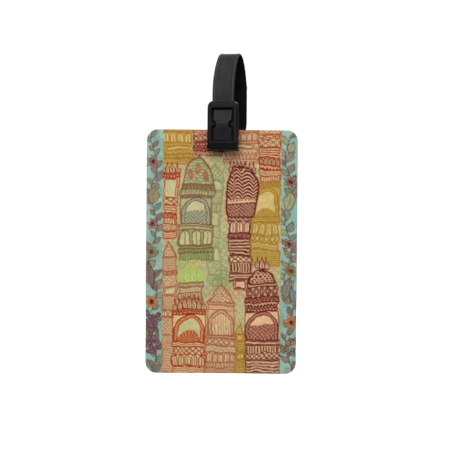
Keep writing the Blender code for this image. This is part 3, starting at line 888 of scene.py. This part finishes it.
def build_printed_panel():
    """A fine grid that carries the print, with rounded rims, a slot for the strap and a flat back."""
    inset = 0.22
    front, back = PANEL_LOW.y, PANEL_HIGH.y + 0.25
    rows = panel_rows()
    columns = int(TAG_WIDTH / CELL)
    depths = np.clip(rows, inset, TAG_HEIGHT - inset)
    shape = bmesh.new()

    def vertex(x, z, y=front):
        return shape.verts.new((x + TAG_MIDDLE_X, y, z + TAG_TOP_Z))

    def outline(start, low, high, reach, y):
        """A ring of vertices at some reach round a box, each beside one of the starting ring's."""
        made = []
        for beside in start:
            at = Vector((beside.co.x - TAG_MIDDLE_X, beside.co.z - TAG_TOP_Z))
            core = Vector((min(max(at.x, low[0]), high[0]), min(max(at.y, low[1]), high[1])))
            at = core + (at - core).normalized() * reach
            made.append(vertex(at.x, at.y, y))
        return made

    def ring_of(top, bottom, first, last):
        """The grid's vertices round a block of its cells."""
        ring = [grid[top][c] for c in range(first, last)] + [grid[r][last] for r in range(top, bottom)]
        ring += [grid[bottom][c] for c in range(last, first, -1)]
        return ring + [grid[r][first] for r in range(bottom, top, -1)]

    grid = []
    for depth, half in zip(depths, half_width_at(rows) - inset):
        grid.append([vertex(x, -depth) for x in np.linspace(-1, 1, columns + 1) * half])
    left, right, top, bottom = -SLOT_HALF_WIDTH, SLOT_HALF_WIDTH, SLOT_TOP, SLOT_BOTTOM
    hole_rows = [k for k, depth in enumerate(rows) if top - 0.4 <= depth <= bottom + 0.4]
    hole_columns = [k for k, x in enumerate(np.linspace(-1, 1, columns + 1) * (TAG_WIDTH / 2 - inset))
                    if left - 0.4 <= x <= right + 0.4]
    hole = (hole_rows[0], hole_rows[-1], hole_columns[0], hole_columns[-1])
    for r in range(len(rows) - 1):
        for c in range(columns):
            if not (hole[0] <= r < hole[1] and hole[2] <= c < hole[3]):
                shape.faces.new((grid[r][c], grid[r + 1][c], grid[r + 1][c + 1], grid[r][c + 1]))
    core = (left + SLOT_CORNER, SLOT_CORNER - bottom), (right - SLOT_CORNER, -top - SLOT_CORNER)
    slot = [ring_of(*hole)]
    for out, deep in ((0.20, 0.0), (0.08, 0.06), (0.0, 0.2)):
        slot.append(outline(slot[0], *core, SLOT_CORNER + out, front + deep))
    slot.append(outline(slot[0], *core, SLOT_CORNER, back))
    skin(shape, slot)
    core = (TAG_CORNER - TAG_WIDTH / 2, TAG_CORNER - TAG_HEIGHT), (TAG_WIDTH / 2 - TAG_CORNER, -TAG_CORNER)
    rim = [ring_of(0, len(rows) - 1, 0, columns)]
    for angle in (0.5, 1.0, math.pi / 2):
        deep = inset * (1 - math.cos(angle))
        rim.append(outline(rim[0], *core, TAG_CORNER - inset + inset * math.sin(angle), front + deep))
    rim.append(outline(rim[0], *core, TAG_CORNER, back))
    skin(shape, rim)
    edges = []
    for walls in (rim[-1], slot[-1]):
        edges += [shape.edges.get(pair) for pair in zip(walls, walls[1:] + walls[:1])]
    bmesh.ops.triangle_fill(shape, edges=edges, use_beauty=True)
    where = np.array([v.co for v in shape.verts])
    colours = print_colours(where[:, 0] - TAG_MIDDLE_X, where[:, 2] - TAG_TOP_Z)
    wall = np.clip((where[:, 1] - front) / inset, 0, 1)[:, None]
    colours = colours * (1 - 0.75 * wall) + tint(40, 38, 36) * 0.75 * wall
    made = new_piece("printed_panel", shape, printed_material(), smooth=40)
    layer = made.data.color_attributes.new("print", "FLOAT_COLOR", "POINT")
    layer.data.foreach_set("color", np.insert(colours, 3, 1.0, axis=1).astype(np.float32).ravel())
    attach(made, "tag")
    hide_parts("front_panel")


# ---------------------------------------------------------------- the strap

STRAP_WIDTH = 10.5
TAIL_WIDTH = 8.8
STRAP_THICKNESS = 1.6
ARCH_RISE = 19.14
ARCH_POWER = 1.8
LOOP_TOP = 34.95
STRAP_END = 11.3
SPLIT_LEVEL = 5.0
TAIL_LEVEL = -7.0


def on_loop(depth, level):
    return BACKWARD * depth + Vector((0.0, 0.0, TAG_TOP_Z + level))


def strap_route():
    """The strap's centre line, from the buckle's top over the arch, then through the slot to the plug."""
    spring = LOOP_TOP - ARCH_RISE + 0.14
    power = 2 / ARCH_POWER
    route = [on_loop(-STRAP_HALF_DEPTH, STRAP_END + (spring - STRAP_END) * k / 8) for k in range(8)]
    for step in range(97):
        angle = math.pi * step / 96
        lean = math.cos(angle)
        depth = -math.copysign(STRAP_HALF_DEPTH * abs(lean) ** power, lean)
        route.append(on_loop(depth, spring + ARCH_RISE * math.sin(angle) ** power))
    for _ in range(16):
        eased = [(one + 2 * two + three) / 4 for one, two, three in zip(route, route[1:], route[2:])]
        route[1:-1] = eased
    route += [on_loop(STRAP_HALF_DEPTH, spring + (SPLIT_LEVEL - spring) * k / 14) for k in range(1, 15)]
    start = BUCKLE_FRAME @ Vector((0.0, 0.1, TAIL_LEVEL))
    slot = Vector((TAG_MIDDLE_X + 1.1, -2.2, TAG_TOP_Z + TAIL_LEVEL))
    end = on_loop(STRAP_HALF_DEPTH, SPLIT_LEVEL - 0.15)
    handle_out = slot + Vector((0.8, 8.5, 0.0))
    handle_in = end - Vector((0.0, 0.0, 9.0))
    curve = []
    for step in range(41):
        t = step / 40
        early = slot * (1 - t) ** 3 + handle_out * 3 * t * (1 - t) ** 2
        curve.append(early + handle_in * 3 * t**2 * (1 - t) + end * t**3)
    route += curve[-2:0:-1]
    route += [slot.lerp(start, k / 16) for k in range(17)]
    return route


def strap_section(half_width, half_depth):
    """Across the strap: a dished face between two round raised rims, with a plain back."""
    edge, rim, dip = 1.0, 1.7, 0.18
    front = [(x, half_depth - dip) for x in np.linspace(-half_width + rim, half_width - rim, 13)]
    right = []
    for share in (0.30, 0.55, 0.80, 1.0):
        rise = 0.5 - 0.5 * math.cos(share * math.pi)
        right.append((half_width - rim + (rim - edge) * share, half_depth - dip * (1 - rise)))
    for angle in np.linspace(math.pi / 2, 0, 9)[1:]:
        right.append((half_width - edge + edge * math.cos(angle), half_depth * math.sin(angle)))
    for angle in np.linspace(0, -math.pi / 2, 6)[1:]:
        right.append((half_width - edge * 0.7 * (1 - math.cos(angle)), half_depth * math.sin(angle)))
    return front + right + [(0.0, -half_depth)] + mirrored(right)


def build_strap(material):
    """The whole band, narrower at its tail end and at its crest, with a small nub on its right edge."""
    route = strap_route()
    travelled = [0.0]
    for one, other in zip(route, route[1:]):
        travelled.append(travelled[-1] + (other - one).length)
    nub_at = on_loop(STRAP_HALF_DEPTH, 20.5)
    shape = bmesh.new()
    rings = []
    for step, point in enumerate(route):
        before, after = route[max(step - 1, 0)], route[min(step + 1, len(route) - 1)]
        normal = ACROSS.cross((after - before).normalized()).normalized()
        narrowing = min(max((travelled[step] / travelled[-1] - 0.72) / 0.14, 0.0), 1.0)
        narrowing = narrowing * narrowing * (3 - 2 * narrowing)
        crest = min(max((point.z - TAG_TOP_Z - 23.0) / 12.0, 0.0), 1.0)
        half_width = (STRAP_WIDTH + (TAIL_WIDTH - STRAP_WIDTH) * narrowing) / 2 - 0.3 * crest
        centre = point + ACROSS * (0.22 * crest)
        nub = 0.3 * math.exp(-(((point - nub_at).length / 0.9) ** 2))
        ring = []
        for across, out in strap_section(half_width, STRAP_THICKNESS / 2):
            bulge = nub if across > half_width - 0.6 else 0.0
            ring.append(shape.verts.new(centre + ACROSS * (across + bulge) + normal * out))
        rings.append(ring)
    skin(shape, rings, capped=True)
    made = new_piece("strap_band", shape, material, smooth=50)
    # Marks for the strap's material: the inner face, which gets painted shade, and the rims' tops, which
    # get a painted highlight.
    under, raised = [], []
    for across, out in strap_section(5, STRAP_THICKNESS / 2):
        under.append(1.0 if out < -0.2 * STRAP_THICKNESS else 0.0)
        beside = (abs(across) - 4.1) / 0.35
        raised.append(math.exp(-(beside**2)) if out > 0.2 else 0.0)
    mark(made, "inner", under * len(rings))
    mark(made, "rim", raised * len(rings))
    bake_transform(made)
    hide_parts("strap_loop", "strap_tail")


def build_strap_mark(material):
    """The faint raised frame moulded on the strap's face just above the buckle."""
    half, low, high, wall = 3.9, 13.9, 15.6, 0.45
    face, floor, root = -0.74, -0.52, -0.40
    inside = block(half - wall, 2 * face, floor, low + wall, high - wall)
    shape = carve(block(half, face, root, low, high), [("DIFFERENCE", inside)], 0.07, 3)
    made = new_piece("strap_mark", shape, material, "loop_end", BUCKLE_FRAME, smooth=60)


# ---------------------------------------------------------------- the buckle

BUCKLE_HALF_DEPTH = 2.3
BUCKLE_BOTTOM = -9.1
BUCKLE_TOP = 12.8
APERTURE_HALF_WIDTH = 5.15
APERTURE_BOTTOM = -5.7
APERTURE_TOP = 9.6
LUG_LEVEL = 2.1
LUG_TIP = 3.75
CAVITY_FRONT = -1.2
CAVITY_BACK = 1.4
TONGUE_HALF_WIDTH = 4.32
TONGUE_BOTTOM = -5.1
TONGUE_TOP = 8.9
PLUG_HALF_WIDTH = 5.8
OVERRUN = 2.0


def lug_outline(root, grown=0.0):
    """The right lug's outline, from its root at a given distance from the middle."""
    tip = LUG_TIP - grown
    return [
        (root, LUG_LEVEL - 1.45 - grown),
        (tip + 0.35, LUG_LEVEL - 0.75 - grown),
        (tip, LUG_LEVEL - 0.35 - grown * 0.4),
        (tip, LUG_LEVEL + 0.35 + grown * 0.4),
        (tip + 0.35, LUG_LEVEL + 0.75 + grown),
        (root, LUG_LEVEL + 1.45 + grown),
    ]


def aperture_outline(grown=0.0):
    root = APERTURE_HALF_WIDTH + grown
    side = [(root, APERTURE_BOTTOM - grown), *lug_outline(root, -grown), (root, APERTURE_TOP + grown)]
    return side + mirrored(side)


def sleeve_shell():
    """The sleeve's outside: a rounded oblong that slopes in at its foot and its shoulders."""
    corner = 0.7
    levels = [
        (BUCKLE_BOTTOM, 6.85, 1.55), (-8.7, 7.1, 1.7), (-6.3, 7.1, 2.3), (9.7, 7.1, 2.3),
        (10.8, 6.98, 2.3), (11.7, 6.65, 2.25), (12.3, 6.2, 2.1), (BUCKLE_TOP, 5.65, 1.85),
    ]
    shape = bmesh.new()
    rings = []
    for z, half_width, front in levels:
        back = (BUCKLE_HALF_DEPTH + front) / 2
        ring = []
        for x_side, y_side, start in ((1, -1, -90), (1, 1, 0), (-1, 1, 90), (-1, -1, 180)):
            depth = back if y_side > 0 else front
            for turn in range(0, 91, 15):
                angle = math.radians(start + turn)
                x = x_side * (half_width - corner) + corner * math.cos(angle)
                ring.append(shape.verts.new((x, y_side * (depth - corner) + corner * math.sin(angle), z)))
        rings.append(ring)
    skin(shape, rings, capped=True)
    bmesh.ops.recalc_face_normals(shape, faces=shape.faces)
    return shape


def build_sleeve(material):
    """The sleeve, with a cavity, a stepped window, a cut for the strap's tail and a mouth on top."""
    below, above = BUCKLE_BOTTOM - OVERRUN, BUCKLE_TOP + OVERRUN
    front, behind = -BUCKLE_HALF_DEPTH, BUCKLE_HALF_DEPTH + OVERRUN
    cavity_half, cavity_top, step, step_depth = 6.1, 9.5, 0.22, 0.25
    mouth_half, mouth_depth, mouth_floor = 5.55, 1.1, 10.2
    steps = [
        ("DIFFERENCE", block(cavity_half, CAVITY_FRONT, CAVITY_BACK, below, cavity_top)),
        ("DIFFERENCE", prism(aperture_outline(), front - OVERRUN, CAVITY_FRONT + 0.1)),
        ("DIFFERENCE", prism(aperture_outline(step), front - OVERRUN, front + step_depth)),
        ("DIFFERENCE", block(PLUG_HALF_WIDTH, CAVITY_BACK - 0.1, behind, below, APERTURE_BOTTOM)),
        ("DIFFERENCE", block(mouth_half, -mouth_depth, mouth_depth, mouth_floor, above)),
    ]
    shape = carve(sleeve_shell(), steps, 0.12, 4)
    made = new_piece("buckle_sleeve", shape, material, "loop_end", BUCKLE_FRAME, smooth=60)
    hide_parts("buckle_housing")


def build_tongue(material):
    """The release tongue: it leans up above its ridge and down below it, with a waist for the lugs."""
    back = -0.45
    profile = [
        (back, TONGUE_BOTTOM), (-0.9, TONGUE_BOTTOM), (-1.95, LUG_LEVEL - 1.2),
        (-2.15, LUG_LEVEL + 0.4), (-1.95, LUG_LEVEL + 2.2), (-1.05, TONGUE_TOP),
        (back, TONGUE_TOP),
    ]
    base = prism(profile, -TONGUE_HALF_WIDTH, TONGUE_HALF_WIDTH)
    base.transform(Matrix.Rotation(math.pi / 2, 4, "Z"))
    steps = []
    for side in (1, -1):
        notch = [(side * x, z) for x, z in lug_outline(TONGUE_HALF_WIDTH + 1.0, 0.78)]
        steps.append(("DIFFERENCE", prism(notch, -4, 2)))
    shape = carve(base, steps, 0.10, 5)
    made = new_piece("press_tongue", shape, material, "tongue", BUCKLE_FRAME, smooth=60)
    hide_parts("release_tongue")


def build_plug(material):
    """The plug: two prongs, the web between them, the socket for the strap and a thin flared flange."""
    inner, top, web_top = 4.9, 7.7, -5.4
    front, back = -0.9, 1.1
    right = [
        (PLUG_HALF_WIDTH, -9.8), (PLUG_HALF_WIDTH, top - 0.6), (PLUG_HALF_WIDTH - 0.3, top),
        (inner + 0.3, top), (inner, top - 0.6), (inner, web_top),
    ]
    rim = [(3.0, -10.02), (6.7, -10.1), (7.35, -10.2), (7.4, -10.0), (6.9, -9.2)]
    socket_half, socket_low, socket_high = TAIL_WIDTH / 2 + 0.4, TAIL_LEVEL - 1.1, TAIL_LEVEL + 1.1
    steps = [
        ("UNION", prism(rim + mirrored(rim), -1.45, 2.1)),
        ("DIFFERENCE", block(socket_half, -0.3, back + OVERRUN, socket_low, socket_high)),
    ]
    shape = carve(prism(right + mirrored(right), front, back), steps, 0.11, 3)
    made = new_piece("buckle_base", shape, material, "plug_end", BUCKLE_FRAME, smooth=60)
    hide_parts("buckle_plug")


def soften(shown, width):
    """A small moulded radius along every sharp edge."""
    weld = shown.modifiers.new("weld", "WELD")
    weld.merge_threshold = 0.001 * MM
    edge = shown.modifiers.new("edge", "BEVEL")
    edge.width = width * MM
    edge.segments = 2
    edge.limit_method = "ANGLE"
    edge.angle_limit = math.radians(40)


def dress(node, material):
    """Give a CAD node its finish."""
    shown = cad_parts[node]
    for slot in shown.material_slots:
        slot.material = material
    return shown


def build_back_frame(material):
    """The frame round the card's window, down to the tray so that its seam shows as a hairline."""
    low, high = in_mm(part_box("back_frame"))
    front, back = PANEL_HIGH.y + 2.83, high.y
    card_low, card_high = in_mm(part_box("address_card"))
    lap = 2.0
    opening = rounded(card_low.x + lap, card_high.x - lap, card_low.z + lap, card_high.z - lap, 3.0)
    level = (card_low.z + card_high.z) / 2
    notch = []
    for angle in np.linspace(0, 2 * math.pi, 49)[:-1]:
        notch.append((high.x + NOTCH_RADIUS * math.cos(angle), level + NOTCH_RADIUS * math.sin(angle)))
    slot = rounded(-SLOT_HALF_WIDTH, SLOT_HALF_WIDTH, -SLOT_BOTTOM, -SLOT_TOP, SLOT_CORNER)
    slot = [(TAG_MIDDLE_X + x, TAG_TOP_Z + z) for x, z in slot]
    base = prism(rounded(low.x, high.x, low.z, high.z, TAG_CORNER), front, back)
    steps = [("DIFFERENCE", prism(outline, front - 1.0, back + 1.0)) for outline in (opening, notch, slot)]
    made = new_piece("back_frame_moulding", carve(base, steps), material, "tag", smooth=40)
    soften(made, 0.25)
    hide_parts("back_frame")


def build_card_rules(material):
    """Ruled lines printed a hair proud of the card's back. They start at +X, its left from behind."""
    low, high = in_mm(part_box("address_card"))
    margin, first, spacing, thick = 6.0, 16.0, 9.0, 0.35
    shape = bmesh.new()
    for k in range(7):
        level = high.z - first - k * spacing
        end = low.x + (margin if k % 3 else 3 * margin)
        start = high.x - margin
        line = [(end, level), (start, level), (start, level + thick), (end, level + thick)]
        prism(line, high.y, high.y + 0.03, shape)
    made = new_piece("card_rules", shape, material, "card", smooth=None)


# ---------------------------------------------------------------- stage, light and camera


def build_stage():
    """A white floor that glows a little, so that it stays white round the tag, but lights nothing."""
    look = Nodes("stage_look").surface(
        Base_Color=(0.9, 0.9, 0.9), Roughness=0.9, Specular_IOR_Level=0.1,
        Emission_Color=(1.0, 1.0, 1.0), Emission_Strength=0.78,
    )
    bpy.ops.mesh.primitive_plane_add(size=12.0, location=(0.0, 0.0, (PANEL_LOW.z - 0.2) * MM))
    floor = bpy.context.object
    floor.name = "floor"
    floor.data.materials.append(look)
    floor.visible_diffuse = False
    floor.visible_glossy = False


def add_light(name, azimuth, elevation, distance, size, power):
    """A soft round light, placed round the tag's middle by degrees left or right of the camera and up."""
    aim = Vector((TAG_MIDDLE_X, 0.0, TAG_TOP_Z - TAG_HEIGHT / 2)) * MM
    turn, rise = math.radians(azimuth), math.radians(elevation)
    away = Vector((math.sin(turn) * math.cos(rise), -math.cos(turn) * math.cos(rise), math.sin(rise)))
    light = bpy.data.lights.new(name, "AREA")
    light.shape = "DISK"
    light.size = size
    light.energy = power
    lamp = linked(name, light)
    lamp.location = aim + away * distance
    lamp.rotation_euler = (-away).to_track_quat("-Z", "Y").to_euler()


def build_light():
    """A white room, dim below and brighter overhead, and soft lights in front, beside, above and behind."""
    room = Nodes("studio", "worlds")
    bpy.context.scene.world = room.owner
    place = room.add("TexCoord").outputs["Generated"]
    rise = room.add("SeparateXYZ", {0: place}).outputs["Z"]
    dim = room.add("Background", {"Strength": room.ramp(rise, 0.05, 0.42, -0.6, 1.0)})
    seen = room.add("Background", {"Color": (1.0, 1.0, 1.0), "Strength": 1.05})
    camera_ray = room.add("LightPath").outputs["Is Camera Ray"]
    choose = room.add("MixShader", {0: camera_ray, 1: dim.outputs[0], 2: seen.outputs[0]})
    room.feed(room.tree.nodes["World Output"].inputs["Surface"], choose.outputs[0])
    add_light("key", -8, 21, 0.95, 0.75, 8.9)
    add_light("fill", 32, 8, 1.0, 0.50, 1.3)
    add_light("above", -10, 76, 0.9, 0.45, 3.2)
    add_light("back", 165, 40, 1.0, 0.60, 4.0)


def build_camera():
    """Straight on, a little right of and above the tag's middle, from far away."""
    reach, view_width = 1100.0, 220.0
    camera = bpy.data.cameras.new("camera")
    camera.sensor_width = 36.0
    camera.lens = camera.sensor_width * reach / view_width
    camera.clip_start = 0.05
    made = linked("camera", camera)
    across, level = TAG_MIDDLE_X + 7.15, TAG_TOP_Z - TAG_HEIGHT / 2 + 6.8
    made.location = Vector((across, PANEL_LOW.y - reach, level)) * MM
    made.rotation_euler = (math.pi / 2, math.radians(-0.5), 0.0)
    bpy.context.scene.camera = made


def main():
    black = moulded_black("buckle_look", tint(12, 12, 13), 0.50, 3000.0, 0.12)
    # The tongue's black is a lighter copy of the buckle's black: painted light for the light that the
    # tongue's face catches.
    tongue_brightened_black = moulded_black("tongue_brightened_look", tint(21, 21, 22), 0.48, 2600.0, 0.17)
    rubber = moulded_black("strap_look", tint(26, 26, 27), 0.58, 1900.0, 0.20, strap=True)
    build_printed_panel()
    build_strap(rubber)
    build_strap_mark(rubber)
    build_sleeve(black)
    build_tongue(tongue_brightened_black)
    build_plug(black)
    soften(dress("tag_body", moulded_black("tag_plastic_look", tint(44, 43, 42), 0.46)), 0.15)
    build_back_frame(moulded_black("frame_plastic_look", tint(38, 38, 39), 0.5))
    dress("card_window", window_material())
    dress("address_card", paper_material())
    build_card_rules(rule_material())
    build_stage()
    build_light()
    build_camera()
    bpy.context.scene.view_settings.view_transform = "Standard"


main()
